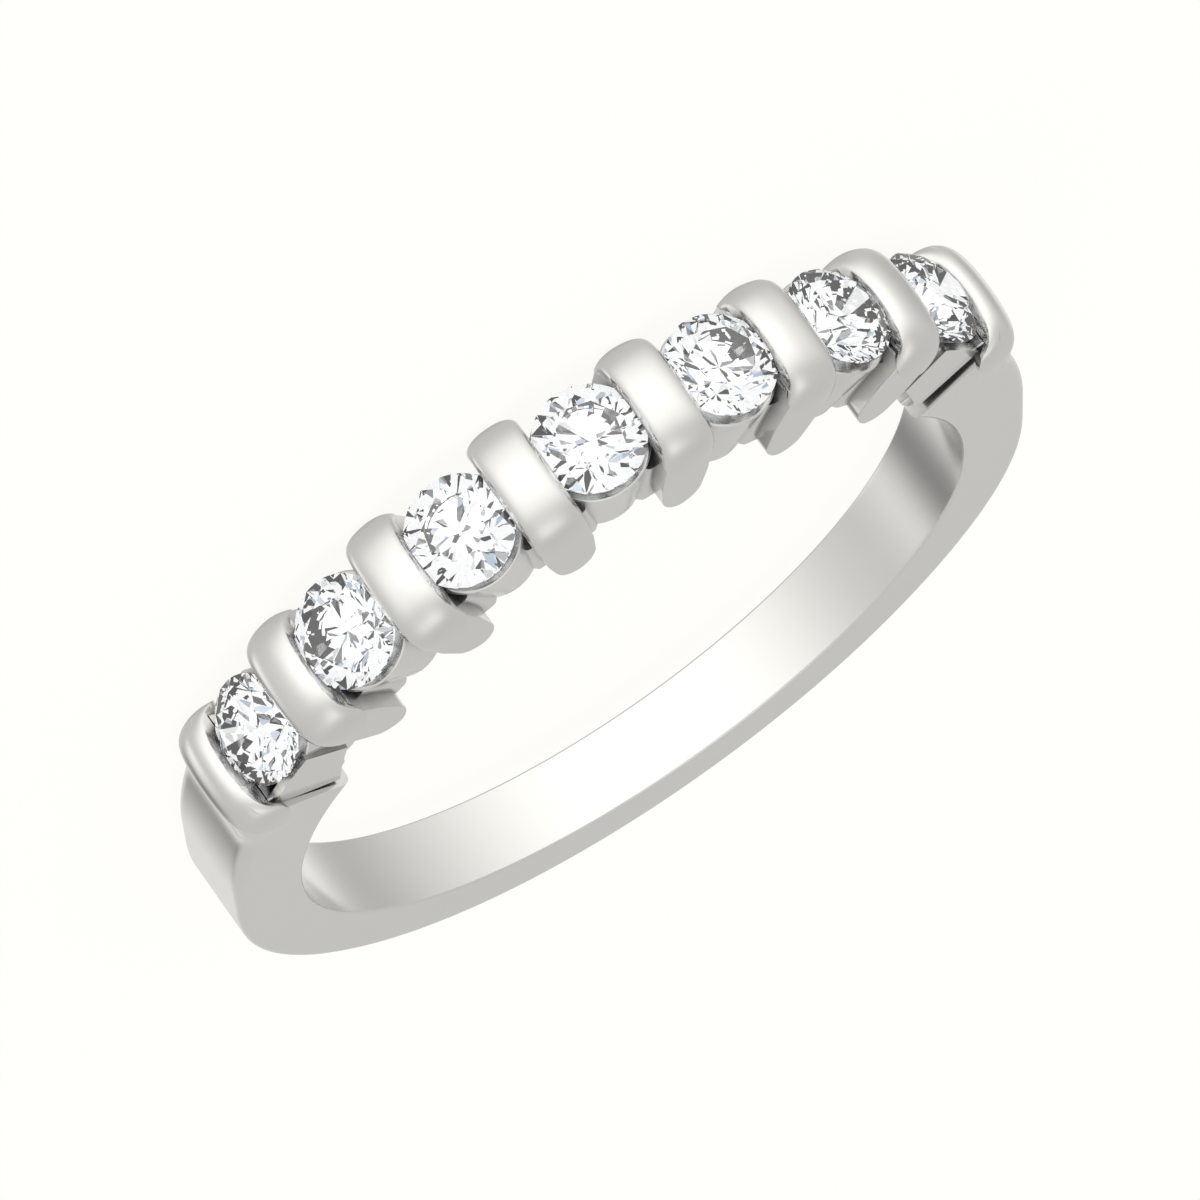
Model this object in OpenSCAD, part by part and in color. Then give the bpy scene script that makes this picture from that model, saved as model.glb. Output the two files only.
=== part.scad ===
// Half-hoop diamond ring: seven round brilliants held between eight polished bars.
// The finger hole runs along Z, the head points to -Y, and the origin is the middle of the hole.

/* [Finger hole] */
// Inside diameter of the ring
finger_d = 17; // [15:0.1:20]

/* [Shank] */
// Thickness of the shank opposite the head
shank_t = 1.5; // [1.2:0.05:1.8]
// Width of the shank opposite the head
shank_w = 1.8; // [1.6:0.05:2]
// Width of the shank at the sides of the finger
side_w = 2.3; // [2:0.05:2.5]
// Width of the shoulders where they meet the end bars
shoulder_w = 2.7; // [2.55:0.05:2.9]
// How far the outer curve of the shoulders is moved towards the head
shoulder_rise = 1.5; // [1.3:0.05:1.6]

/* [Head] */
// Distance along the girdles from one stone's middle to the next
spacing = 3.28; // [3.2:0.02:3.4]
// How far the middle of the head's curve lies from the finger axis, towards the head
head_shift = 0.75; // [0.6:0.05:0.9]
// Height of a bar's crest above the finger hole, at the middle of the head
bar_rise = 3.3; // [3.15:0.05:3.45]
// Thickness of a bar along the row of stones
bar_w = 1.25; // [1.15:0.05:1.3]
// Length of a bar across the ring, at its cushion top
bar_l = 3; // [2.95:0.05:3.2]
// Length of a bar across the ring, at the finger hole
bar_foot_l = 2.8; // [2.6:0.05:2.85]
// Half width of the rail that joins the bars under the stones
rail_half_w = 0.7; // [0.6:0.05:0.8]
// Thickness of that rail
rail_t = 0.75; // [0.65:0.05:0.85]

/* [Stones] */
// Girdle diameter of a stone
stone_d = 2.4; // [2.3:0.05:2.5]
// Height of the middle stone's girdle above the finger hole
girdle_rise = 2.8; // [2.7:0.02:2.9]
// Table width as a share of the girdle diameter
table_share = 0.57; // [0.53:0.01:0.62]
// Slope of the eight crown main facets
crown_angle = 34.5; // [33:0.5:36]
// Slope of the eight pavilion main facets
pavilion_angle = 40.8; // [40:0.1:42]
// Thickness of the girdle
girdle_t = 0.09; // [0.07:0.01:0.12]
// Turn of each stone about its own axis
stone_turn = 8; // [0:1:45]
// Clearance between a stone and the metal
stone_gap = 0.03; // [0.02:0.01:0.05]

/* [Hidden] */

STONES = 7;
ROUND = 96;
finger_r = finger_d / 2;
shank_r = finger_r + shank_t;
// These three are measured from the middle of the head's curve.
seat_r = finger_r + girdle_rise - head_shift;
crest_r = finger_r + bar_rise - head_shift;
hole_r = finger_r - head_shift;
pitch = spacing / seat_r * 180 / PI;
end_angle = STONES / 2 * pitch;
// The shoulders end this many degrees inside the end bars.
shoulder_lap = 1.5;
// Places along the ring, seen from its side, at which the shank's width is set.
side_y = -1;
shoulder_y = -6.5;
// A cutter's margin, and a depth that is more than the whole ring is wide.
past = 1;
deep = 6;

stone_r = stone_d / 2;
table_r = table_share * stone_r;
crown_h = (stone_r - table_r) * tan(crown_angle);
// The tip of a star facet lies halfway from the table edge to the girdle.
table_edge = table_r * cos(22.5);
star_tip = (table_edge + stone_r) / 2;
star_tip_h = (stone_r - star_tip * cos(22.5)) * tan(crown_angle);
// The sixteen half facets lean on the chord between two girdle corners.
half_reach = stone_r * cos(11.25);
upper_angle = atan(star_tip_h / (half_reach - star_tip * cos(11.25)));
// The lower halves run 78 hundredths of the way to the point.
lower_tip = 0.22 * stone_r;
lower_tip_h = (stone_r - lower_tip * cos(22.5)) * tan(pavilion_angle);
lower_angle = atan(lower_tip_h / (half_reach - lower_tip * cos(11.25)));
pavilion_h = stone_r * tan(pavilion_angle);
// Straight steps along the girdle edge of each half facet.
GIRDLE_STEPS = 4;

// Body of a bar, under its cushion.
body_w = bar_w - 0.1;
foot_gap = 0.25;
foot_round = 0.45;
taper_h = 1.2;
body_lap = 0.25;
end_foot_gap = -0.3;
end_foot_l = 2.2;
// Cushion on top of a bar, a little proud of the body's end walls.
cushion_h = 0.7;
cushion_lip = 0.05;
cushion_r = crest_r - cushion_h;
dome_round = 0.9;
crest_round = 4.2;
end_bow = 0.75;

// Cup under each stone, a cone that narrows towards the finger.
cup_top = seat_r - 0.35;
cup_top_r = stone_r + 0.06;
cup_foot = hole_r - 0.3;
cup_foot_r = 0.84;
drill_r = 0.55;
// Narrowest radius of the room that is cut for a stone's crown.
neck_r = 0.75;

// Webs that close the head beside the end bars; their ends are counted in stones.
web_half_w = 1;
web_top = hole_r + 2.2;
web_from = 3.1;
web_to = 3.45;

// Turns local +Y to the outward direction at an angle around the finger.
module around(angle) {
    rotate([0, 0, 180 + angle]) children();
}

// The same around the middle of the head's curve.
module on_head(angle) {
    translate([0, -head_shift, 0]) around(angle) children();
}

// Stands a shape that was made along local Z on the head's curve.
module outward(angle) {
    on_head(angle) rotate([-90, 0, 0]) children();
}

// Outer curve of shank and shoulders: two equal circles and the straight sides between them.
module shank_outline() {
    circle(r = shank_r, $fn = ROUND);
    translate([0, -shoulder_rise]) circle(r = shank_r, $fn = ROUND);
    translate([-shank_r, -shoulder_rise]) square([2 * shank_r, shoulder_rise]);
}

// Side view of the shank: it widens from the back of the finger to the shoulders.
module shank_side_view() {
    back = shank_r + past;
    polygon([
        [back, shank_w / 2], [side_y, side_w / 2], [shoulder_y, shoulder_w / 2],
        [shoulder_y, -shoulder_w / 2], [side_y, -side_w / 2], [back, -shank_w / 2]
    ]);
}

module shank() {
    reach = 3 * shank_r;
    cut = end_angle - shoulder_lap;
    difference() {
        intersection() {
            linear_extrude(height = deep, center = true) shank_outline();
            rotate([90, 0, 90]) linear_extrude(height = reach, center = true) shank_side_view();
        }
        on_head(0) linear_extrude(height = deep + past, center = true)
            polygon([[0, 0], [-reach * sin(cut), reach * cos(cut)], [reach * sin(cut), reach * cos(cut)]]);
    }
}

// Thin rail along the finger side of the head.
module rail() {
    cylinder(r = finger_r + rail_t, h = 2 * rail_half_w, center = true, $fn = ROUND);
}

// End view of a bar's body: straight flanks that taper to a rounded foot.
module body_end_view(foot_r) {
    middle = foot_r + foot_round;
    translate([0, middle]) circle(r = foot_round, $fn = ROUND);
    polygon([[-foot_round, middle], [foot_round, middle], [body_w / 2, foot_r + taper_h],
             [body_w / 2, cushion_r + body_lap], [-body_w / 2, cushion_r + body_lap],
             [-body_w / 2, foot_r + taper_h]]);
}

// Side view of a bar's body: its end walls lean out from the finger hole to the cushion.
module body_side_view(foot_l) {
    half_top = bar_l / 2 - cushion_lip;
    half_foot = foot_l / 2;
    polygon([[-half_foot, hole_r], [half_foot, hole_r], [half_top, cushion_r], [half_top, crest_r],
             [-half_top, crest_r], [-half_top, cushion_r]]);
}

module bar_body(foot_r, foot_l) {
    intersection() {
        linear_extrude(height = 2 * bar_l, center = true) body_end_view(foot_r);
        rotate([0, -90, 0]) linear_extrude(height = 2 * bar_w, center = true) body_side_view(foot_l);
    }
}

// Top view of the cushion: a rectangle with bowed ends.
module cushion_top_view() {
    for (side = [1, -1])
        intersection() {
            square([bar_w, bar_l], center = true);
            translate([0, side * (bar_l / 2 - end_bow)]) circle(r = end_bow, $fn = ROUND);
        }
    square([bar_w, bar_l - 2 * end_bow], center = true);
}

// Cushion on a bar: a domed strip bent round a circle along the bar, cut to its outline.
module cushion() {
    intersection() {
        translate([0, crest_r - crest_round, 0]) rotate([0, 90, 0])
            rotate_extrude($fn = 2 * ROUND) intersection() {
                translate([crest_round - dome_round, 0]) circle(r = dome_round, $fn = ROUND);
                translate([crest_round - cushion_h, -bar_w / 2]) square([cushion_h, bar_w]);
            }
        rotate([-90, 0, 0]) linear_extrude(height = crest_r + past) cushion_top_view();
    }
}

// Bar number i, from 0 to STONES. The two end bars run down into the shoulders.
module bar(i) {
    angle = (i - STONES / 2) * pitch;
    is_end = i == 0 || i == STONES;
    on_head(angle) {
        bar_body(finger_r + (is_end ? end_foot_gap : foot_gap) - head_shift * cos(angle),
                 is_end ? end_foot_l : bar_foot_l);
        cushion();
    }
}

// Cup under a stone, still without its drilled seat.
module cup() {
    translate([0, 0, cup_foot])
        cylinder(r1 = cup_foot_r, r2 = cup_top_r, h = cup_top - cup_foot, $fn = ROUND);
}

// Room for a stone in the cup and in the flanks of its two bars, and the drilled hole behind it.
module seat() {
    wide = stone_r + stone_gap;
    low = -girdle_t / 2 - stone_gap;
    high = girdle_t / 2 + stone_gap;
    bottom = -girdle_rise - past;
    top = high + (wide - neck_r) * tan(crown_angle);
    translate([0, 0, seat_r]) rotate_extrude($fn = ROUND)
        polygon([[0, bottom], [drill_r, bottom], [drill_r, low - (wide - drill_r) * tan(pavilion_angle)],
                 [wide, low], [wide, high], [neck_r, top], [0, top]]);
}

// Flat-sided web between an end bar and the cup beside it.
module web() {
    a = web_from * pitch;
    b = web_to * pitch;
    linear_extrude(height = 2 * web_half_w, center = true)
        polygon([[0, 0], [-web_top * sin(a), web_top * cos(a)], [-web_top * sin(b), web_top * cos(b)]]);
}

// All the metal, soldered into one piece, with the true finger hole through it.
module band() {
    color("gainsboro") difference() {
        union() {
            shank();
            rail();
            for (i = [0 : STONES]) bar(i);
            for (i = [1 : STONES]) outward((i - (STONES + 1) / 2) * pitch) cup();
            on_head(0) web();
            mirror([1, 0, 0]) on_head(0) web();
        }
        for (i = [1 : STONES]) outward((i - (STONES + 1) / 2) * pitch) seat();
        cylinder(r = finger_r, h = deep, center = true, $fn = 2 * ROUND);
    }
}

// Point at a distance from the stone's axis, at an angle around it and at a height.
function polar(rho, angle, height) = [rho * cos(angle), rho * sin(angle), height];

// How far the half facets reach past the girdle's corner line at a girdle point.
function scallop(j, slope) =
    let (off = (j % GIRDLE_STEPS) * 22.5 / GIRDLE_STEPS - 11.25)
        (stone_r * cos(off) - half_reach) * tan(slope);

// Round brilliant with its table up and the middle of its girdle at height 0.
module brilliant() {
    rim = 16 * GIRDLE_STEPS;
    half_t = girdle_t / 2;
    table = [for (k = [0 : 7]) polar(table_r, 45 * k, half_t + crown_h)];
    star = [for (k = [0 : 7]) polar(star_tip, 45 * k + 22.5, half_t + star_tip_h)];
    upper = [for (j = [0 : rim - 1])
        polar(stone_r, 360 * j / rim, half_t - scallop(j, upper_angle))];
    lower = [for (j = [0 : rim - 1])
        polar(stone_r, 360 * j / rim, scallop(j, lower_angle) - half_t)];
    tip = [for (k = [0 : 7]) polar(lower_tip, 45 * k + 22.5, -half_t - lower_tip_h)];
    // Places in the list of points at which each group starts.
    s = 8;
    u = 16;
    l = u + rim;
    t = l + rim;
    culet = t + 8;
    polyhedron(
        points = concat(table, star, upper, lower, tip, [[0, 0, -half_t - pavilion_h]]),
        faces = concat(
            [[for (k = [7 : -1 : 0]) k]],
            [for (k = [0 : 7]) [k, (k + 1) % 8, s + k]],
            [for (k = [0 : 7]) [k, s + k, u + 2 * GIRDLE_STEPS * k, s + (k + 7) % 8]],
            [for (m = [0 : 15]) concat([s + floor(m / 2)],
                [for (j = [GIRDLE_STEPS : -1 : 0]) u + (m * GIRDLE_STEPS + j) % rim])],
            [for (j = [0 : rim - 1]) [u + j, u + (j + 1) % rim, l + (j + 1) % rim, l + j]],
            [for (m = [0 : 15]) concat([t + floor(m / 2)],
                [for (j = [0 : GIRDLE_STEPS]) l + (m * GIRDLE_STEPS + j) % rim])],
            [for (k = [0 : 7]) [culet, t + (k + 7) % 8, l + 2 * GIRDLE_STEPS * k, t + k]]));
}

module stone(i) {
    color("aliceblue") outward(((STONES + 1) / 2 - i) * pitch)
        translate([0, 0, seat_r]) rotate([0, 0, stone_turn]) brilliant();
}

band();
stone(1);  // stone_1
stone(2);  // stone_2
stone(3);  // stone_3
stone(4);  // stone_4
stone(5);  // stone_5
stone(6);  // stone_6
stone(7);  // stone_7
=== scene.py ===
# %% [markdown]
# # Half-hoop diamond ring
# Seven round brilliants stand between eight polished bars on a white gold ring. This lesson
# builds the metal as numpy surfaces, gives metal and stones their finish, and sets up the studio.
# The measured CAD model comes first: its stones stay, and its metal is replaced by finer pieces.

# %% Load the frame
import bmesh
import bpy
import numpy as np
from mathutils import Matrix


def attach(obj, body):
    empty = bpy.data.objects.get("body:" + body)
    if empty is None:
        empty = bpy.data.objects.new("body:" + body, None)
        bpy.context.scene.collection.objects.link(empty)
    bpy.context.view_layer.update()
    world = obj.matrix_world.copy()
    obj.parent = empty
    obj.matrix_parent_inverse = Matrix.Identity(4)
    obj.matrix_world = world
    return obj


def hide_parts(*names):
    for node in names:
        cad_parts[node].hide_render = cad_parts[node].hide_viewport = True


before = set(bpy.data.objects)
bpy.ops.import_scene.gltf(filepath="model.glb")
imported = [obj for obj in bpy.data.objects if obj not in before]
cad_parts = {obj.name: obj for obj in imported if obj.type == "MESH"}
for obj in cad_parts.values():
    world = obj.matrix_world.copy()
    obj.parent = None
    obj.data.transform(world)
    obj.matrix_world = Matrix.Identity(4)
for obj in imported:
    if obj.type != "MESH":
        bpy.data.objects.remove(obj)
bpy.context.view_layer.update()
print("CAD nodes:", sorted(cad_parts))

# %% [markdown]
# ## The ring's measures
# A jeweller works from a drawing, and these are the numbers of that drawing in millimetres. The
# stones and bars don't stand on a circle around the finger: the head is highest at its middle
# stone and a little lower at its ends. So its curve has a middle of its own, moved from the
# finger's axis towards the head, and seats and crests are counted from there. The numbers could
# stand in each function, but named once here they can't differ between two pieces.

# %% Measures in millimetres
MM = 0.001
STONES = 7
FINGER_R = 8.5
SHANK_R = 10.0
SHOULDER_RISE = 1.5
HEAD_SHIFT = 0.75
SEAT_RISE, CREST_RISE = 2.8, 3.3
SEAT_R = FINGER_R + SEAT_RISE - HEAD_SHIFT
CREST_R = FINGER_R + CREST_RISE - HEAD_SHIFT
STONE_STEP = 3.28
PITCH = np.degrees(STONE_STEP / SEAT_R)
STONE_R = 1.2
GIRDLE_HALF = 0.045
CLEAR = 0.03
CROWN, PAVILION = np.radians(34.5), np.radians(40.8)
BAR_W, BAR_L = 1.25, 3.0
print(f"stone to stone {PITCH:.2f} degrees, crest {CREST_R:.2f} mm from the head's middle")


# %% [markdown]
# ## From a grid of points to a piece
# Every piece of metal here is a sheet of points with rows and columns. Such pieces could be
# modelled by hand as well, but a formula keeps each edge radius exact. One function turns a grid
# into a mesh, welds the seams where the sheet meets itself, and turns all faces outwards.

# %% Grid to mesh
# In metres: points closer than WELD become one, and edges shorter than SLIVER go.
WELD, SLIVER = 2e-8, 1e-9


def grid_faces(rows, columns, wrap_rows=False, wrap_columns=False):
    """Quads between neighbouring points: (i, j), (i+1, j), (i+1, j+1), (i, j+1), with the last
    row or column joined to the first where the sheet wraps."""
    i = np.arange(rows if wrap_rows else rows - 1)[:, None]
    j = np.arange(columns if wrap_columns else columns - 1)[None, :]
    i2, j2 = (i + 1) % rows, (j + 1) % columns
    quads = [i * columns + j, i2 * columns + j, i2 * columns + j2, i * columns + j2]
    return np.stack(np.broadcast_arrays(*quads), -1).reshape(-1, 4)


def welded(mesh):
    """Merges the points of a seam, clears slivers, and turns the faces outwards."""
    work = bmesh.new()
    work.from_mesh(mesh)
    bmesh.ops.remove_doubles(work, verts=work.verts, dist=WELD)
    bmesh.ops.dissolve_degenerate(work, edges=work.edges, dist=SLIVER)
    bmesh.ops.recalc_face_normals(work, faces=work.faces)
    work.to_mesh(mesh)
    work.free()


print("a 3 by 3 grid has", len(grid_faces(3, 3)), "faces, and", len(grid_faces(3, 3, True, True)),
      "if it wraps both ways")


# %% One object from sheets
def piece(name, sheets, material, sharp=40):
    """One object of the band's metal from several sheets, each (points in mm of shape
    (rows, columns, 3), wrap_rows, wrap_columns). Edges over sharp degrees stay hard."""
    points, faces, start = [], [], 0
    for grid, wrap_rows, wrap_columns in sheets:
        rows, columns = grid.shape[:2]
        points.append(grid.reshape(-1, 3) * MM)
        faces.append(grid_faces(rows, columns, wrap_rows, wrap_columns) + start)
        start += rows * columns
    points, faces = np.concatenate(points), np.concatenate(faces)
    mesh = bpy.data.meshes.new(name)
    mesh.vertices.add(len(points))
    mesh.vertices.foreach_set("co", points.astype(np.float32).ravel())
    mesh.loops.add(faces.size)
    mesh.loops.foreach_set("vertex_index", faces.astype(np.int32).ravel())
    mesh.polygons.add(len(faces))
    mesh.polygons.foreach_set("loop_start", np.arange(0, faces.size, 4, dtype=np.int32))
    mesh.update(calc_edges=True)
    welded(mesh)
    mesh.shade_smooth()
    mesh.set_sharp_from_angle(angle=np.radians(sharp))
    mesh.materials.append(material)
    made = bpy.data.objects.new(name, mesh)
    bpy.context.scene.collection.objects.link(made)
    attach(made, "root")
    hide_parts("band")
    # The stones see the studio instead of the metal behind them.
    made.visible_transmission = False
    print(f"{name}: {len(mesh.polygons)} faces")


# %% [markdown]
# ## Writing shader maths as Python
# A finish is a network of nodes. It can be wired by hand in the editor, but it is easier to read
# as a formula. This small class wraps a socket, so that `noise * 0.2 + 0.1` adds the Math nodes
# for it. Everything else comes from one method, which sets a node's own settings first and its
# sockets after.

# %% Sockets with operators
class Value:
    """A number that varies over a surface, and the node tree that it lives in."""

    def __init__(self, tree, socket):
        self.tree, self.socket = tree, socket

    def math(self, operation, *terms, clamp=False):
        """Adds one Math node. Its terms are values or plain numbers."""
        node = self.tree.nodes.new("ShaderNodeMath")
        node.operation, node.use_clamp = operation, clamp
        for place, term in zip(node.inputs, terms):
            if isinstance(term, Value):
                self.tree.links.new(term.socket, place)
            else:
                place.default_value = float(term)
        return Value(self.tree, node.outputs[0])

    def __add__(self, other):
        return self.math("ADD", self, other)

    def __radd__(self, other):
        return self.math("ADD", other, self)

    def __sub__(self, other):
        return self.math("SUBTRACT", self, other)

    def __rsub__(self, other):
        return self.math("SUBTRACT", other, self)

    def __mul__(self, other):
        return self.math("MULTIPLY", self, other)

    def __rmul__(self, other):
        return self.math("MULTIPLY", other, self)

    def exp(self):
        """e to the power of the value."""
        return self.math("EXPONENT", self)

    def clamped(self):
        """Kept between 0 and 1."""
        return self.math("MULTIPLY", self, 1.0, clamp=True)


print("a Value has", ", ".join(name for name in vars(Value) if callable(getattr(Value, name))))


# %% Nodes from one method
class Shader:
    """A node tree, with one method that adds any node."""

    def __init__(self, tree):
        self.tree = tree
        tree.nodes.clear()

    def steps(self, ramp, stops):
        """Gives a ramp hard steps, each (position, (red, green, blue))."""
        ramp.interpolation = "CONSTANT"
        while len(ramp.elements) < len(stops):
            ramp.elements.new(0.5)
        for element, (where, colour) in zip(ramp.elements, stops):
            element.position, element.color = where, (*colour, 1)

    def node(self, kind, settings=None, ordered=(), **named):
        """Sets the node's settings, a ramp's stops among them, and then its sockets, in their
        order or by name."""
        made = self.tree.nodes.new(kind)
        for key, value in (settings or {}).items():
            if key == "stops":
                self.steps(made.color_ramp, value)
            else:
                setattr(made, key, value)
        places = [made.inputs[i] for i in range(len(ordered))]
        places += [made.inputs[key.replace("_", " ")] for key in named]
        for place, value in zip(places, [*ordered, *named.values()]):
            if isinstance(value, Value):
                self.tree.links.new(value.socket, place)
            elif isinstance(value, bpy.types.NodeSocket):
                self.tree.links.new(value, place)
            else:
                place.default_value = value
        return made

    def value(self, socket):
        """Wraps an output of one of the tree's nodes."""
        return Value(self.tree, socket)


MIX_COLOURS = {"data_type": "RGBA"}
print("a colour mix is a node of the type ShaderNodeMix with the settings", MIX_COLOURS)


# %% [markdown]
# ## White gold
# The real metal is white gold with a polished rhodium plate: a warm grey mirror. A mirror with one
# value all over looks computed, so the roughness drifts a little within each millimetre, and a
# very fine bump stands for the wheel marks that blur the reflections. A polishing wheel doesn't
# reach the gaps beside the stones, where the metal stays rougher, and shade is painted there too: a
# darker colour where an occlusion value finds a gap, which is simpler than painting them piece by
# piece. The table under the ring would count as a gap too, so the value is raised close above it.

# %% White gold material
WARM_GREYS = (0.800, 0.793, 0.772, 1), (0.850, 0.843, 0.825, 1)
TONE_FROM, TONE_SPAN = 0.2, 0.6
POLISHED, DULL, DRIFT = 0.12, 0.24, 0.08
# Waves of the noises in a metre, and the strength and height in metres of the wheel marks.
CLOUDS, MARKS = 900.0, 9000.0
MARK_STRENGTH, MARK_HEIGHT = 0.02, 0.00001
# A nook is looked for within NOOK_REACH metres, and the table's level is in metres too.
NOOK_REACH, NOOK_OPEN, NOOK_FADE = 0.0007, 0.28, 2.4
TABLE_LEVEL, TABLE_FADE = -0.0008, 1800.0


def white_gold_material(name, painted_shade_tone):
    """Polished metal, with shade painted into its nooks: painted_shade_tone is its brightness where
    the nook is deepest. Open air is 0 in a nook and 1 outside it or close above the table. It takes
    the roughness from DULL to POLISHED, and the colour from painted_shade_tone, the painted shade, to
    a grey between the two WARM_GREYS."""
    material = bpy.data.materials.new(name)
    material.use_nodes = True
    shade = Shader(material.node_tree)
    place = shade.node("ShaderNodeTexCoord").outputs["Object"]
    cloud = shade.node("ShaderNodeTexNoise", Vector=place, Scale=CLOUDS, Detail=3.0)
    grain = shade.node("ShaderNodeTexNoise", Vector=place, Scale=MARKS, Detail=2.0)
    drift = shade.value(cloud.outputs["Fac"])
    nook = shade.node("ShaderNodeAmbientOcclusion", {"samples": 8}, Distance=NOOK_REACH)
    low = shade.value(shade.node("ShaderNodeSeparateXYZ", Vector=place).outputs["Z"])
    table = ((TABLE_LEVEL - low) * TABLE_FADE).clamped()
    seen = (shade.value(nook.outputs["AO"]) - NOOK_OPEN) * NOOK_FADE
    open_air = (seen + table).clamped()
    roughness = (drift * DRIFT + DULL - open_air * (DULL - POLISHED)).clamped()
    warmth = (drift * TONE_SPAN + TONE_FROM).clamped()
    tone = shade.node("ShaderNodeMix", MIX_COLOURS, Factor=warmth, A=WARM_GREYS[0],
                      B=WARM_GREYS[1])
    # Painted shade: where the occlusion finds a nook, the colour falls to the darker nook tone.
    painted_nook_shade = shade.node("ShaderNodeMix", MIX_COLOURS, Factor=open_air,
                      A=(painted_shade_tone, painted_shade_tone, painted_shade_tone, 1), B=tone.outputs["Result"])
    bump = shade.node("ShaderNodeBump", Strength=MARK_STRENGTH, Distance=MARK_HEIGHT,
                      Height=grain.outputs["Fac"])
    metal = shade.node("ShaderNodeBsdfPrincipled", Metallic=1.0, Roughness=roughness,
                       Base_Color=painted_nook_shade.outputs["Result"], Normal=bump.outputs["Normal"])
    shade.node("ShaderNodeOutputMaterial", Surface=metal.outputs["BSDF"])
    print(f"{name}: {len(material.node_tree.nodes)} nodes")
    return material


# Two copies of one gold: the first paints dark shade into its nooks, the second a faint grey shade.
white_gold = white_gold_material("white_gold", 0.2)
faint_shade_gold = white_gold_material("faint_shade_gold", 0.62)

# %% [markdown]
# ## Diamond
# A brilliant looks bright because its facets throw light back out of the top. That comes from
# the shape and from diamond's high refractive index. A drawn picture of facets would be cheaper,
# but it wouldn't sparkle when the view turns, so the material is clear and sharp and the CAD
# stones' own facets do the work. Only a breath of blue drifts through the stones.

# %% Diamond material
DIAMOND_IOR = 2.418
PALE_BLUE, COLOURLESS = (0.97, 0.985, 1.0, 1), (1.0, 1.0, 1.0, 1)


def diamond_material():
    """Clear and sharp, with a colour that drifts between PALE_BLUE and COLOURLESS."""
    material = bpy.data.materials.new("diamond")
    material.use_nodes = True
    shade = Shader(material.node_tree)
    place = shade.node("ShaderNodeTexCoord").outputs["Object"]
    cloud = shade.node("ShaderNodeTexNoise", Vector=place, Scale=1200.0, Detail=2.0)
    tint = shade.node("ShaderNodeMix", MIX_COLOURS, Factor=cloud.outputs["Fac"],
                      A=PALE_BLUE, B=COLOURLESS)
    gem = shade.node("ShaderNodeBsdfPrincipled", Base_Color=tint.outputs["Result"],
                     Roughness=0.0, IOR=DIAMOND_IOR, Transmission_Weight=1.0)
    shade.node("ShaderNodeOutputMaterial", Surface=gem.outputs["BSDF"])
    return material


diamond = diamond_material()
for number in range(1, STONES + 1):
    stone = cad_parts[f"stone_{number}"]
    stone.data.materials.clear()
    stone.data.materials.append(diamond)
print("diamond on", STONES, "stones")


# %% [markdown]
# ## Places on the head
# The bars and cups are drawn once, as seen along the ring, and then stood around the head. A
# point is given by x along the row of stones, r outwards and z across the ring. Placing them with
# a formula, and not with turned objects, keeps every object at the origin.

# %% Head coordinates
def on_head(x, r, z, degrees):
    """Points of the ring from bar coordinates, at an angle around the head's own middle:
    r goes along the direction (sin, -cos) and x along (cos, sin)."""
    a = np.radians(degrees)
    x, r, z = np.broadcast_arrays(x, r, z)
    return np.stack([r * np.sin(a) + x * np.cos(a),
                     -HEAD_SHIFT - r * np.cos(a) + x * np.sin(a), z], -1)


def hole_r(x, degrees):
    """The r at which the finger hole's wall lies, for a given x in bar coordinates: the ring's
    distance to the finger axis is FINGER_R there."""
    a = np.radians(degrees)
    return (-HEAD_SHIFT * np.cos(a)
            + np.sqrt(FINGER_R**2 - (HEAD_SHIFT * np.sin(a))**2 - x**2
                      + 2 * HEAD_SHIFT * x * np.sin(a)))


def smooth(value):
    """0 below 0, 1 above 1, and an S curve between."""
    value = np.clip(value, 0, 1)
    return value * value * (3 - 2 * value)


BAR_ANGLES = (np.arange(STONES + 1) - STONES / 2) * PITCH
STONE_ANGLES = (np.arange(STONES) - (STONES - 1) / 2) * PITCH
print("bars at", BAR_ANGLES.round(1), "degrees")

# %% [markdown]
# ## Cushions
# Each bar is topped by a long soft cushion with rounded ends that hang a little over the bar's
# end walls. Subdividing a box would do, but then the corner radius is a matter of luck. Here a
# superellipse arch, between a circle and a box, gives both the long profile and the section.

# %% Arches and borders
# Powers of the arches across the bar, along it, and of its lip: 2 is a circle and 6 nearly a box.
SECTION, PROFILE, LIP_ARCH = 2.3, 6, 2.2


def arch(t, n):
    """1 in the middle and 0 at t = -1 and 1: (1 - |t|^n)^(1/n)."""
    return np.clip(1 - np.abs(t)**n, 0, 1)**(1 / n)


def edged(points, rings):
    """Adds rings of points around a grid. Each ring is a function of the grid's border, which
    the ring before it has moved."""
    for ring in rings:
        points = np.pad(points, ((1, 1), (1, 1), (0, 0)), mode="edge")
        moved = ring(points.copy())
        points[[0, -1]] = moved[[0, -1]]
        points[:, [0, -1]] = moved[:, [0, -1]]
    return points


print("arches at nine tenths:", [round(float(arch(0.9, n)), 2) for n in (2, SECTION, PROFILE)])

# %% Cushions
# In millimetres, and as depths below the crest for the lip, the flanks' end and the core.
DEPTH, DROP, BEND_R = 1.7, 0.35, 6.0
LIP, FLANK, CORE = 0.66, 0.62, 0.8
END_W, END_L, END_HIGH = 0.54, 1.49, 0.04
ACROSS, ALONG = 45, 81
# The underside as a share of the border along x, r and z, and its step down.
UNDERSIDE, STEP = [0.86, 1.0, 0.9], 0.02


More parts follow.
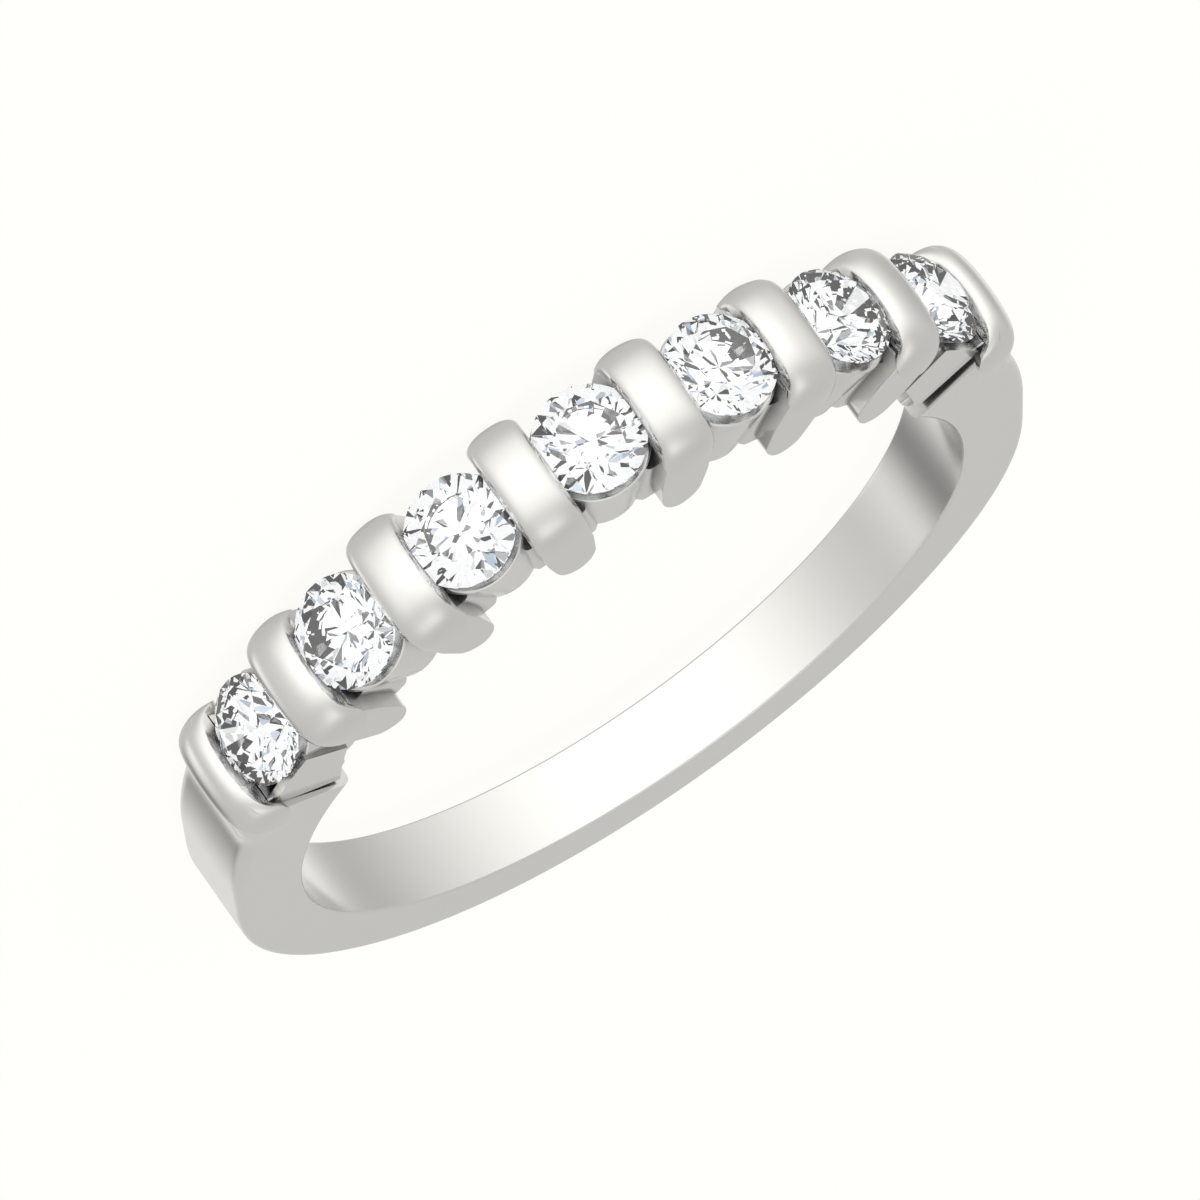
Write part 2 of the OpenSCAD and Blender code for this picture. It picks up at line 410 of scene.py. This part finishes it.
def cushion(degrees, half_w=BAR_W / 2, half_l=BAR_L / 2, high=0.0, bow=0.15, hang=0.35):
    """Along z the crest follows an arch of the power PROFILE and a parabola of radius BEND_R.
    Across x the section falls by DROP (1 - arch), and the ends are drawn in by bow. They stop on
    a U: LIP below the crest at the flanks and lower by hang in the middle."""
    crest = CREST_R + high
    across = np.sin(np.linspace(-np.pi / 2, np.pi / 2, ACROSS))[None, :]
    dome = 1 - arch(across, SECTION)
    lip = LIP + hang * arch(across, LIP_ARCH)
    level = np.clip((DEPTH + DROP * dome - lip) / DEPTH, 0.001, 1)
    last = np.arccos(level**(PROFILE / 2))
    s = np.linspace(-1, 1, ALONG)[:, None]
    turn = last * np.abs(s)**2
    length = half_l * (1 - bow * dome)
    z = length * np.sign(s) * np.sin(turn)**(2 / PROFILE)
    r = crest - DEPTH + DEPTH * np.cos(turn)**(2 / PROFILE) - DROP * dome - z**2 / (2 * BEND_R)
    x = half_w * across + 0 * z

    # The border goes straight down the flanks, then inwards, and then to one point.
    def down(g):
        g[..., 1] = np.minimum(g[..., 1], crest - FLANK)
        return g

    def under(g):
        return g * UNDERSIDE - [0, STEP, 0]

    def core(g):
        return g * 0.0 + [0, crest - CORE, 0]

    grid = edged(np.stack([x, r, z], -1), (down, under, core))
    return on_head(grid[..., 0], grid[..., 1], grid[..., 2], degrees)


# The ends of the cushions hang lower beyond the middle stone, towards +X.
HANG, FAR_HANG = 0.3, 0.45
for i, degrees in enumerate(BAR_ANGLES):
    if 0 < i < STONES:
        grid = cushion(degrees, hang=FAR_HANG if i > STONES // 2 else HANG)
    else:
        grid = cushion(degrees, half_w=END_W, half_l=END_L, high=END_HIGH, bow=0.06)
    piece(f"cushion_{i}", [(grid, False, False)], white_gold, sharp=50)


# %% [markdown]
# ## Seats
# A stone is held by its edge, which sits in a groove that the setter cuts into the flanks of
# the two bars beside it. A boolean cut would leave ragged faces. The groove is the stone's own
# outline, turned about its axis with a hair of clearance, so the flank of a bar is simply moved
# back to that outline where it is cut.

# %% Seat groove
def seat_radius(height):
    """Radius of the room for a stone at a height above its girdle's middle: the crown's cone
    above, the girdle's edge in the middle, the pavilion's cone below."""
    edge, lip = STONE_R + CLEAR, GIRDLE_HALF + CLEAR
    crown = edge - (height - lip) / np.tan(CROWN)
    pavilion = edge + (height + lip) / np.tan(PAVILION)
    return np.clip(np.minimum(np.minimum(crown, pavilion), edge), 0, None)


def cut_flank(x, r, z):
    """Moves a flank point at x > 0 back to x = (r sin d - sqrt(R^2 - z^2)) / cos d wherever it
    would stand inside the room of the next stone, whose axis leans by d, half a pitch. R
    depends on x, so the step is taken five times."""
    lean = np.radians(PITCH / 2)
    for _ in range(5):
        radius = seat_radius(x * np.sin(lean) + r * np.cos(lean) - SEAT_R)
        room = np.sqrt(np.clip(radius**2 - z**2, 0, None))
        limit = (r * np.sin(lean) - room) / np.cos(lean)
        x = np.where(room > 0, np.minimum(x, limit), x)
    return x


print(f"room for a stone at its girdle: {seat_radius(np.array(0.0)):.2f} mm")


# %% [markdown]
# ## Bodies of the bars
# Under its cushion a bar is a plain upright: straight flanks that taper to a rounded foot near
# the finger, and end walls that go almost straight up to the cushion. A bevelled box would be
# close, but the stones' grooves need many points on the flanks. So it is a sheet wrapped around
# the end view, from one end wall to the other, with a small radius along both end edges.

# %% Side view of a bar
FOOT_SHARE, FOOT_ROUND, FOOT_ARCH, FOOT_CURVE = 0.7, 0.45, 2.2, 0.8


def foot_width(r, foot, half_w, taper):
    """Half width at a radius: half_w times a share that falls to FOOT_SHARE over the taper, times
    an arch over the last FOOT_ROUND mm."""
    rise = np.clip((r - foot) / taper, 0, 1)
    end = arch(1 - np.clip((r - foot) / FOOT_ROUND, 0, 1), FOOT_ARCH)
    return half_w * (FOOT_SHARE + (1 - FOOT_SHARE) * rise**FOOT_CURVE) * end


print("half widths 0.1, 0.5 and 2 mm above a foot:",
      foot_width(np.array([0.1, 0.5, 2.0]), 0.0, 0.575, 1.1).round(2), "mm")

# %% Bar bodies
BODY_TOP = CREST_R - 0.6
NECK, NECK_SOFT = 0.2, 0.1
# Points up the flank, along it, round the edge and over the end wall, with the rows CROWDED
# towards the foot.
ROWS, COLUMNS, ROUND, WALL = 110, 60, 7, 6
CROWDED = 1.35


def bar_body(degrees, foot, low=None, half_w=0.575, half_foot=1.4, half_top=1.36, taper=1.1,
             edge=0.05, cuts=(1, 1), groove=0.09):
    """One flank goes from the foot, or from a low above it, to the cushion, and the other comes
    back. Along z the sheet has a flat middle, a quarter round of radius edge, and an end wall
    that closes on x = 0. A shallow groove runs round the NECK below the cushion."""
    low = foot if low is None else low
    up = low + (BODY_TOP - low) * np.linspace(0, 1, ROWS)**CROWDED
    turn = np.linspace(0, np.pi / 2, ROUND)[1:]
    inset = np.concatenate([np.zeros(COLUMNS), edge * (1 - np.cos(turn))])
    reach = np.concatenate([np.linspace(0, 1, COLUMNS), np.ones(len(turn))])
    nose = np.concatenate([np.full(COLUMNS, edge), edge * (1 - np.sin(turn))])
    wall = np.linspace(1, 0, WALL)[1:]
    half_length = half_foot + (half_top - half_foot) * (up - low) / (BODY_TOP - low)
    neck = groove * smooth((up - BODY_TOP + NECK) / NECK_SOFT)
    width = (foot_width(up, foot, half_w, taper) - neck)[:, None]
    z_half = (half_length[:, None] - nose) * reach
    sheets = []
    for side, cut in zip((1, -1), cuts):
        round_edge = np.where(width > 2 * edge, inset, inset * width / (2 * edge))
        x = np.clip(width - round_edge, 0, None) + 0 * z_half
        r = up[:, None] + 0 * z_half
        if cut:
            x = cut_flank(x, r, z_half)
        x = np.concatenate([x, x[:, -1:] * wall], 1)
        z = np.concatenate([z_half, np.repeat(z_half[:, -1:], len(wall), 1)], 1)
        r = np.concatenate([r, np.repeat(r[:, -1:], len(wall), 1)], 1)
        x, z, r = (np.pad(g, ((1, 1), (0, 0)), mode="edge") for g in (x, z, r))
        x[[0, -1]] = 0
        for end in (1, -1):
            sheets.append((on_head(side * x, r, end * z, degrees), False, False))
    return sheets


FOOT_GAP = 0.3
for i, degrees in enumerate(BAR_ANGLES[1:-1], 1):
    foot = FINGER_R + FOOT_GAP - HEAD_SHIFT * np.cos(np.radians(degrees))
    piece(f"bar_{i}", bar_body(degrees, foot), white_gold)


# %% [markdown]
# ## Cups
# Each stone has a cup below it: a cone that narrows towards the finger, with a sloping seat
# inside and a drilled hole that lets light and water through. A screw or spin of a curve can't
# follow the curved wall of the finger hole, so one closed profile is turned about the stone's
# axis by a formula that ends each line on that wall.

# %% Cups
GALLERY = 0.5
CUP_TOP = SEAT_R - 0.35
CUP_R, END_CUP_R = 1.26, 1.17
AROUND, LINE, RIM, BACK = 128, 24, 6, 8


def cup(degrees, top_r, foot_r=1.0, drill=0.55, edge=0.05):
    """The profile runs up the outer cone, over the rim, down the seat's cone and the drilled
    hole, and back along the gallery, which is a circle GALLERY outside the finger hole."""
    foot, top = FINGER_R + GALLERY - HEAD_SHIFT, CUP_TOP
    u = np.linspace(0, 2 * np.pi, AROUND + 1)[:-1][None, :]
    rise = np.linspace(0, 1, LINE)[:, None]
    turn = np.linspace(0, np.pi / 2, RIM)[1:, None]

    # The outer cone's radius, a straight line from foot_r to top_r.
    def outer(r):
        return foot_r + (top_r - foot_r) * (r - foot) / (top - foot)

    # The cone's radius depends on the height at which it meets the gallery: three steps find it.
    low = foot + 0 * u
    for _ in range(3):
        low = GALLERY + hole_r(outer(low) * np.cos(u), degrees)
    r_out = low + (top - edge - low) * rise
    r_rim = top - edge + edge * np.sin(turn) + 0 * u
    rho_rim = outer(top) - edge * (1 - np.cos(turn)) + 0 * u
    seat_top = seat_radius(np.array(top - SEAT_R))
    rho_seat = seat_top + (drill - seat_top) * rise
    r_seat = top - (seat_top - rho_seat) * np.tan(PAVILION) + 0 * u
    drill_low = GALLERY + hole_r(drill * np.cos(u), degrees)
    r_drill = r_seat[-1] + (drill_low - r_seat[-1]) * rise[1:]
    back = drill + (outer(low) - drill) * np.linspace(0, 1, BACK)[1:-1, None]
    rho = np.concatenate([outer(r_out), rho_rim, rho_seat + 0 * u, drill + 0 * r_drill, back])
    r = np.concatenate([r_out, r_rim, r_seat, r_drill, GALLERY + hole_r(back * np.cos(u), degrees)])
    return on_head(rho * np.cos(u), r, rho * np.sin(u), degrees)


for i, degrees in enumerate(STONE_ANGLES):
    grid = cup(degrees, CUP_R if 0 < i < STONES - 1 else END_CUP_R)
    piece(f"cup_{i + 1}", [(grid, True, True)], faint_shade_gold)


# %% [markdown]
# ## Rail
# A thin rail runs along the finger side of the head and joins the feet. It could be one bent strip
# with holes, but a strip of quads takes round holes badly. Between the drilled holes it is a set
# of short blocks whose ends are hollowed to the holes.

# %% Rail blocks
RAIL_HALF, RAIL_FLARE = 0.8, 0.18
FLARE_END, FLARE_SOFT = 0.92, 0.25


def rail_block(degrees, thick=1.45, drill=0.57, proud=0.02):
    """A block in bar coordinates. Along x it reaches to the hollow that the next drilled hole
    leaves, x = hole's middle - sqrt(drill^2 - z^2). Its half width is RAIL_HALF behind the cups
    and RAIL_FLARE more beside the bar, with an S curve that ends FLARE_END mm from the bar."""
    s = np.linspace(-1, 1, 41)[:, None, None]
    t = np.array([0.0, 1.0])[None, None, :]
    near = np.tan(np.radians(PITCH / 2)) * (hole_r(0.0, degrees) + GALLERY)
    half = RAIL_HALF + RAIL_FLARE * smooth((FLARE_END - near * np.abs(s)) / FLARE_SOFT)
    z = half * np.linspace(-1, 1, 61)[None, :, None]
    bite = np.sqrt(np.clip(drill**2 - z**2, 0, None))
    x = (near - bite) * s
    r = hole_r(x, degrees) + GALLERY + proud + thick * t
    points = on_head(x + 0 * t, r, z + 0 * t, degrees)
    inner, outer = points[:, :, 0], points[:, :, 1]
    ends = [np.stack([inner[i], outer[i]]) for i in (0, -1)]
    sides = [np.stack([inner[:, i], outer[:, i]]) for i in (0, -1)]
    return [(g, False, False) for g in (inner, outer, *sides, *ends)]


for i, degrees in enumerate(BAR_ANGLES[1:-1], 1):
    piece(f"rail_{i}", rail_block(degrees), white_gold)


# %% [markdown]
# ## Shank and shoulders
# The shank is a strip bent around the finger. It widens from the back to the shoulders, and its
# outer edges get rounder on the way. Close to the end bar the shoulder sweeps up in a hollow
# curve and joins the cushion. A bevelled curve object keeps one section all along, so the sheet is
# a rounded section whose sizes change with the angle while it is carried around the finger.

# %% Side view and widths of the shank
# The strip's width was measured at three places along y, from the back to the shoulders.
WIDTH_AT = [11.0, -1.0, -6.5]
WIDTHS = [1.8, 2.3, 2.7]


def shank_outer(angle):
    """Distance of the outer wall from the finger axis at an angle from the head: two equal
    circles, one moved towards the head by SHOULDER_RISE, and the straight sides between."""
    c, s = np.cos(angle), np.sin(angle)
    moved = SHOULDER_RISE * c + np.sqrt(SHANK_R**2 - (SHOULDER_RISE * s)**2)
    straight = SHANK_R / np.maximum(np.abs(s), 0.5)
    low = np.arctan2(SHANK_R, SHOULDER_RISE)
    return np.where(angle < low, moved, np.where(angle < np.pi / 2, straight, SHANK_R))


def shank_half_width(y):
    """Half of the strip's width: a parabola through the measured widths at the back of the
    ring, at its sides and at the shoulders."""
    return 0.5 * np.polyval(np.polyfit(WIDTH_AT, WIDTHS, 2), y)


print("widths from back to shoulder:", 2 * shank_half_width(np.array([10, 0, -6])).round(2), "mm")

# %% Shank
# Angles are counted from the head's middle. The shank starts under the end bar's cushion. The
# sweep, bulge and swell each have a height, a place where they end or begin, and a length.
START, DENSE = np.radians(56.9), np.radians(30)
SWEEP, SWEEP_FROM, SWEEP_SPAN = 0.42, START + np.radians(3.5), np.radians(9)
BULGE, BULGE_END, BULGE_SPAN = 0.1, np.radians(135), 0.6
SWELL, SWELL_FROM, SWELL_SPAN = 0.03, FINGER_R + 0.6, 1.6
# Radii of the edges at the back, and how much they gain over SOFT_SPAN at the shoulders.
INNER_EDGE, INNER_GAIN = 0.05, 0.17
OUTER_EDGE, OUTER_GAIN = 0.14, 0.22
SOFT_SPAN = np.radians(45)


def shank_sheet():
    """At each angle a closed section of (distance, z): flat inside, with small rounds at the
    inner edges and larger ones at the outer edges. Near the end bars the outer face sweeps up to
    the cushion, and the sides swell a little to meet its ends."""
    near = START + DENSE * np.linspace(0, 1, 110)**1.3
    far = np.linspace(near[-1], np.pi, 150)[1:]
    angle = np.concatenate([near, far])[:, None]
    closeness = smooth(1 - (angle - START) / SOFT_SPAN)
    sweep = smooth(1 - (angle - SWEEP_FROM) / SWEEP_SPAN)**2
    bulge = smooth((BULGE_END - angle) / BULGE_SPAN)
    outer = shank_outer(angle) + SWEEP * sweep + BULGE * bulge
    wide = shank_half_width(-shank_outer(angle) * np.cos(angle))
    inner_edge = INNER_EDGE + INNER_GAIN * closeness
    outer_edge = OUTER_EDGE + OUTER_GAIN * closeness
    turn = np.linspace(0, np.pi / 2, 12)[None, :]
    flat = np.linspace(0, 1, 12)[None, 1:-1]
    # A quarter of the section in the order inner face, inner edge, side, outer edge, outer face.
    z = np.concatenate([(wide - inner_edge) * flat, wide - inner_edge + inner_edge * np.sin(turn),
                        wide + 0 * flat, wide - outer_edge + outer_edge * np.cos(turn),
                        (wide - outer_edge) * (1 - flat)], 1)
    side_low, side_high = FINGER_R + inner_edge, outer - outer_edge
    d = np.concatenate([FINGER_R + 0 * (wide * flat), FINGER_R + inner_edge * (1 - np.cos(turn)),
                        side_low + (side_high - side_low) * flat,
                        outer - outer_edge + outer_edge * np.sin(turn), outer + 0 * (wide * flat)], 1)
    swell = SWELL * sweep * smooth((d - SWELL_FROM) / SWELL_SPAN)
    z = z * (1 + swell / wide)
    z = np.concatenate([z, -z[:, ::-1]], 1)
    d = np.concatenate([d, d[:, ::-1]], 1)
    x, y = d * np.sin(angle), -d * np.cos(angle)
    right = np.stack([x, y, z], -1)
    left = np.stack([-x, y, z], -1)[-2::-1]
    return np.concatenate([right, left])


sheet = shank_sheet()
caps = [np.stack([row, np.broadcast_to(row.mean(0), row.shape)]) for row in (sheet[0], sheet[-1])]
piece("shank", [(sheet, False, True)] + [(cap, False, True) for cap in caps], faint_shade_gold)

# %% [markdown]
# ## End bars
# The first and the last bar grow out of the shoulders. Only the flank that faces the stones
# shows, with its groove for the stone, so each is a plain upright between shoulder and cushion,
# made by the same function as the other bars. Its ends stay behind the shoulder's side, which
# leaves a shadow beside the plates that come next.

# %% End bars
# The sheet starts END_LOW above the finger hole's wall. Its rounded foot would lie END_DEEP
# deeper, so only straight flanks are drawn.
END_LOW, END_DEEP = 0.05, 1.2
for i, degrees, gold in ((0, BAR_ANGLES[0], white_gold), (STONES, BAR_ANGLES[-1], faint_shade_gold)):
    facing = (1, 0) if i == 0 else (0, 1)
    low = hole_r(0.0, degrees) + END_LOW
    sheets = bar_body(degrees, low - END_DEEP, low, half_w=0.56, half_foot=0.95, half_top=1.15,
                      taper=3.0, cuts=facing, groove=0.0)
    piece(f"bar_{i}", sheets, gold)


# %% [markdown]
# ## Webs
# Beside each end bar a flat plate closes the head on both sides of the last cup. It is set back a
# little from the shoulder's face, and a narrow deep slot is left between the two at one end. A
# box would be enough if its lower edge were level; here it rises towards the stones, so the plate
# is a grid between two angles.

# %% Webs
WEB_Z = 1.0, 1.2
WEB_TOP = 10.27
# Counted in stones from the middle one: where a plate begins, beside the last cup.
WEB_FIRST = 2.88
WEB_LOW, WEB_RISE = 0.3, 1.35


def web(sign, side, last):
    """A flat plate between two planes of constant z, between two angles counted in stones. Its
    lower edge starts WEB_LOW above the hole's wall at the shoulder and rises towards the stones
    by WEB_RISE for each stone."""
    stone = np.linspace(WEB_FIRST, last, 24)[:, None, None]
    a = np.radians(stone * PITCH)
    s = np.linspace(0, 1, 12)[None, :, None]
    z = side * np.array(WEB_Z)[None, None, :]
    low = WEB_LOW + WEB_RISE * (last - stone) + hole_r(0.0, np.degrees(a))
    r = low + (WEB_TOP - low) * s
    x = sign * r * np.sin(a) + 0 * z
    y = -HEAD_SHIFT - r * np.cos(a) + 0 * z
    points = np.stack([x, y, z + 0 * r], -1)
    faces = [points[:, :, 0], points[:, :, 1], points[:, 0], points[:, -1], points[0], points[-1]]
    return [(g, False, False) for g in faces]


for name, sign, last in (("web_right", 1, 3.40), ("web_left", -1, 3.34)):
    piece(name, web(sign, 1, last) + web(sign, -1, last), white_gold)

# %% [markdown]
# ## Camera
# A long lens from far away, as for a jewellery catalogue, so that near and far bars look alike in
# size. The ring lies on its side, and the camera is rolled so that the row of stones rises from
# left to right. Its place came from a fit to the finger hole's two rims; three directions and a
# point in millimetres say it more exactly than turned angles would.

# %% Camera
RIGHT = np.array([-0.83033, 0.03182, 0.55637])
DOWN = np.array([0.53136, 0.34612, 0.77321])
FORWARD = np.array([-0.16796, 0.93765, -0.30430])
EYE = np.array([42.892, -240.781, 77.525])

lens = bpy.data.cameras.new("camera")
lens.sensor_width, lens.lens = 36.0, 360.0
lens.clip_start, lens.clip_end = 0.01, 20.0
camera = bpy.data.objects.new("camera", lens)
turned = np.eye(4)
turned[:3] = np.stack([RIGHT, -DOWN, -FORWARD, EYE * MM], 1)
camera.matrix_world = Matrix(turned.tolist())
bpy.context.scene.collection.objects.link(camera)
bpy.context.scene.camera = camera
print(f"camera {np.linalg.norm(EYE):.0f} mm away, {np.degrees(np.arcsin(-FORWARD[2])):.1f} degrees up")

# %% [markdown]
# ## Floor
# The ring lies on a light table: a pale sheet that glows from below, so that only a faint shadow
# stays. A white paper under lamps would do as well, but its shadow would fall into the finger hole.
# The table is left out of the reflections, because the metal of a catalogue picture shows the
# studio around it.

# %% Floor
# In metres. The ring rests on the ends of its cushions.
FLOOR_Z = -BAR_L / 2 * MM
FLOOR_HALF = 3.0
floor_mesh = bpy.data.meshes.new("floor")
corners = [(-1, -1), (1, -1), (1, 1), (-1, 1)]
floor_mesh.from_pydata([(x * FLOOR_HALF, y * FLOOR_HALF, FLOOR_Z) for x, y in corners], [],
                       [(0, 1, 2, 3)])
floor = bpy.data.objects.new("floor", floor_mesh)
bpy.context.scene.collection.objects.link(floor)
floor.visible_glossy = False
floor.visible_transmission = False
paper = bpy.data.materials.new("paper")
paper.use_nodes = True
shade = Shader(paper.node_tree)
matt = shade.node("ShaderNodeBsdfPrincipled", Base_Color=(0.10, 0.10, 0.098, 1), Roughness=0.9,
                  Emission_Color=(1.0, 0.990, 0.955, 1), Emission_Strength=0.94,
                  Specular_IOR_Level=0.0)
shade.node("ShaderNodeOutputMaterial", Surface=matt.outputs["BSDF"])
floor_mesh.materials.append(paper)
print(f"floor at {FLOOR_Z / MM:.1f} mm")

# %% [markdown]
# ## Surround
# A mirror has no colour of its own: apart from the shade painted into its nooks, the greys on the
# metal are the greys of the studio. Real cards around the ring would do, but a formula of the
# direction is smooth and free of noise. A soft bright band runs around just below the horizon,
# brightest in front, and a few soft cards make single places lighter or darker.

# %% Directions and cards
def towards(azimuth, elevation):
    """A unit vector, with the azimuth counted from -Y towards +X, both in degrees."""
    a, e = np.radians(azimuth), np.radians(elevation)
    return np.array([np.sin(a) * np.cos(e), -np.cos(a) * np.cos(e), np.sin(e)])


# BASE is the grey of the walls. The band's level and half height are given as a direction's z.
BASE = 0.63
BAND_LEVEL, BAND_HALF = -0.29, 0.4
# Each card: azimuth and elevation in degrees, sharpness, strength.
BAND_CARDS = [(-35, -17, 4.0, 0.52), (20, -17, 4.0, 0.52), (48, -17, 12.0, 0.16),
              (-142, -17, 40.0, 0.32), (-112, -17, 16.0, -0.12), (136, -17, 26.0, -0.38),
              (172, -17, 25.0, 0.18)]
CARDS = [(0, 85, 5.0, -0.05), (0, 10, 3.0, 0.08), (114, -26, 60.0, 0.5), (30, 55, 6.0, 0.32)]
print(len(BAND_CARDS) + len(CARDS), "cards")

# %% Studio light
world = bpy.data.worlds.new("studio")
bpy.context.scene.world = world
world.use_nodes = True
shade = Shader(world.node_tree)
ray = shade.node("ShaderNodeTexCoord").outputs["Generated"]
height = shade.value(shade.node("ShaderNodeSeparateXYZ", Vector=ray).outputs["Z"])


def card(azimuth, elevation, sharpness, strength):
    """strength * exp(sharpness * (cosine of the angle to the card's middle - 1))."""
    angle = shade.node("ShaderNodeVectorMath", {"operation": "DOT_PRODUCT"},
                       (ray, towards(azimuth, elevation).tolist()))
    cosine = shade.value(angle.outputs["Value"])
    return ((cosine - 1) * sharpness).exp() * strength


level = (height - BAND_LEVEL) * (1 / BAND_HALF)
band = (level * level * -1.0).exp()
glow = BASE + band * sum(card(*c) for c in BAND_CARDS) + sum(card(*c) for c in CARDS)
warm = shade.node("ShaderNodeVectorMath", {"operation": "SCALE"}, [(1.0, 0.993, 0.972)],
                  Scale=glow)
print(f"walls and cards: {len(world.node_tree.nodes)} nodes")

# %% [markdown]
# ## Light for the stones
# A diamond throws back light from small scattered places: lamps, windows, the dark of a room. So
# for light that has passed through a stone the surround is broken into white, grey, pale blue and
# black. Many small lamps would do the same, but one noise with hard steps is quicker to tune.

# %% Broken light
PATCHES = 3.4
STEPS = ((0.0, (0.01, 0.012, 0.016)), (0.38, (0.30, 0.31, 0.33)), (0.41, (1.25, 1.25, 1.25)),
         (0.58, (0.55, 0.65, 0.78)), (0.60, (1.3, 1.3, 1.3)))
facets = shade.node("ShaderNodeTexNoise", Vector=ray, Scale=PATCHES, Detail=1.0)
ramp = shade.node("ShaderNodeValToRGB", {"stops": STEPS}, Fac=facets.outputs["Fac"])
through = shade.node("ShaderNodeLightPath").outputs["Is Transmission Ray"]
either = shade.node("ShaderNodeMix", MIX_COLOURS, Factor=through, A=warm.outputs["Vector"],
                    B=ramp.outputs["Color"])
air = shade.node("ShaderNodeBackground", Color=either.outputs["Result"], Strength=1.0)
shade.node("ShaderNodeOutputWorld", Surface=air.outputs["Background"])
print(f"with the broken light: {len(world.node_tree.nodes)} nodes")

# %% [markdown]
# ## Colours
# The picture's tones are set by the light alone, so the colours go to the screen as they are,
# without a film curve.

# %% Colours of the picture
bpy.context.scene.view_settings.view_transform = "Standard"
print("view transform:", bpy.context.scene.view_settings.view_transform)
